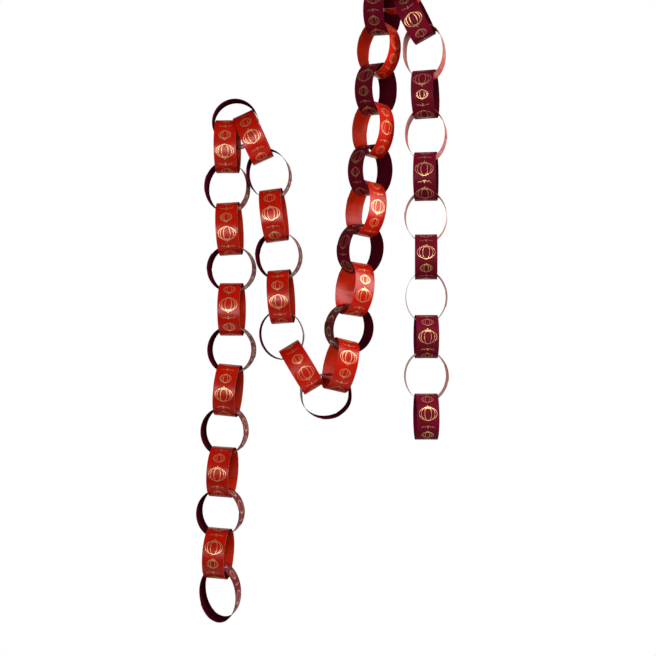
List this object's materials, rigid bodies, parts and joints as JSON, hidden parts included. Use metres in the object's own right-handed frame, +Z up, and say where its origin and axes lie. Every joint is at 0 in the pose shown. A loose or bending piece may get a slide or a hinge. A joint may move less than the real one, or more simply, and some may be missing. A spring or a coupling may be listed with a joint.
{
  "type": "paper chain garland",
  "caption": "Paper chain garland of orange and maroon card loops with foil pumpkin line prints, hung over two pegs in a tall swag with a tail at each side.",
  "frame": {"origin": "the point where the left peg carries the chain: the middle of the inside of the top of link_13_maroon", "axes": "+X to the right along the wall, +Y towards the wall, away from the room, +Z up"},
  "size_m": [0.2847, 0.0644, 0.7383],
  "materials": {
    "orange_card": "glossy coated card with gold foil line print on its outer face",
    "maroon_card": "glossy coated card with gold foil line print on its outer face"
  },
  "bodies": {
    "root": {"link_01_maroon": "maroon_card", "link_02_orange": "orange_card", "link_03_maroon": "maroon_card", "link_04_orange": "orange_card", "link_05_maroon": "maroon_card", "link_06_orange": "orange_card", "link_07_maroon": "maroon_card", "link_08_orange": "orange_card", "link_09_maroon": "maroon_card", "link_10_orange": "orange_card", "link_11_maroon": "maroon_card", "link_12_orange": "orange_card", "link_13_maroon": "maroon_card", "link_14_orange": "orange_card", "link_15_maroon": "maroon_card", "link_16_orange": "orange_card", "link_17_maroon": "maroon_card", "link_18_orange": "orange_card", "link_19_maroon": "maroon_card", "link_20_orange": "orange_card", "link_21_maroon": "maroon_card", "link_22_orange": "orange_card", "link_23_maroon": "maroon_card", "link_24_orange": "orange_card", "link_25_maroon": "maroon_card", "link_26_orange": "orange_card", "link_27_maroon": "maroon_card", "link_28_orange": "orange_card", "link_29_maroon": "maroon_card", "link_30_orange": "orange_card", "link_31_maroon": "maroon_card", "link_32_orange": "orange_card", "link_33_maroon": "maroon_card", "link_34_orange": "orange_card", "link_35_maroon": "maroon_card", "link_36_orange": "orange_card", "link_37_maroon": "maroon_card", "link_38_orange": "orange_card", "link_39_maroon": "maroon_card", "link_40_orange": "orange_card", "link_41_maroon": "maroon_card", "link_42_orange": "orange_card", "link_43_maroon": "maroon_card"}
  },
  "joints": []
}
